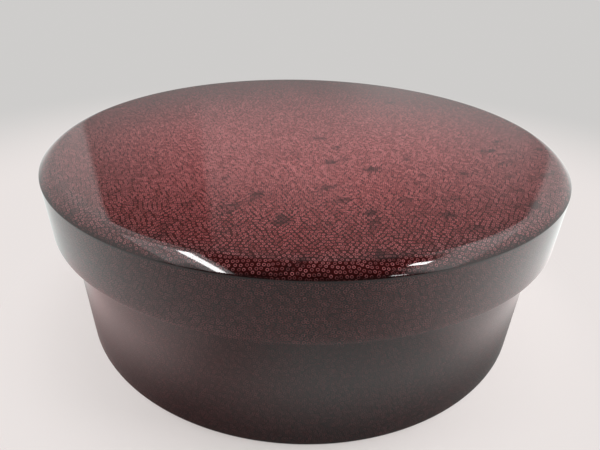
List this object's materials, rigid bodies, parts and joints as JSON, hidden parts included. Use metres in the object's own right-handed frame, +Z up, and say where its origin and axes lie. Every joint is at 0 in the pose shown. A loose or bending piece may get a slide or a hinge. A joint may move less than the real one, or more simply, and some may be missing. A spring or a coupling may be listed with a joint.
{
  "type": "tea utensil box",
  "caption": "Round lacquered wooden box with straight sides and a deep lid that drops over its rim, patterned all over with small rings, for keeping tea utensils.",
  "frame": {"origin": "on the floor under the middle of the box", "axes": "+Z up along the axis of the round box and of the lid; X and Y are alike"},
  "size_m": [0.3, 0.3, 0.1069],
  "materials": {
    "ring_lacquer": "polished lacquer, small red rings on a dark red to black ground",
    "black_lacquer": "glossy black lacquer",
    "bamboo": "split and shaved, uncoated"
  },
  "bodies": {
    "box": {"body_outer_hoop": "ring_lacquer", "body_inner_hoop": "black_lacquer", "bottom_board": "black_lacquer", "foot_hoop": "black_lacquer", "bottom_peg_1": "bamboo", "bottom_peg_2": "bamboo", "bottom_peg_3": "bamboo", "bottom_peg_4": "bamboo", "bottom_peg_5": "bamboo", "bottom_peg_6": "bamboo", "bottom_peg_7": "bamboo", "bottom_peg_8": "bamboo"},
    "lid": {"lid_board": "ring_lacquer", "lid_outer_hoop": "ring_lacquer", "lid_inner_hoop": "black_lacquer", "lid_peg_1": "bamboo", "lid_peg_2": "bamboo", "lid_peg_3": "bamboo", "lid_peg_4": "bamboo", "lid_peg_5": "bamboo", "lid_peg_6": "bamboo", "lid_peg_7": "bamboo", "lid_peg_8": "bamboo"}
  },
  "joints": [
    {"name": "lid_lift", "type": "slide", "parent": "box", "child": "lid", "axis": [0, 0, 1], "range_m": [0, 0.12]}
  ]
}
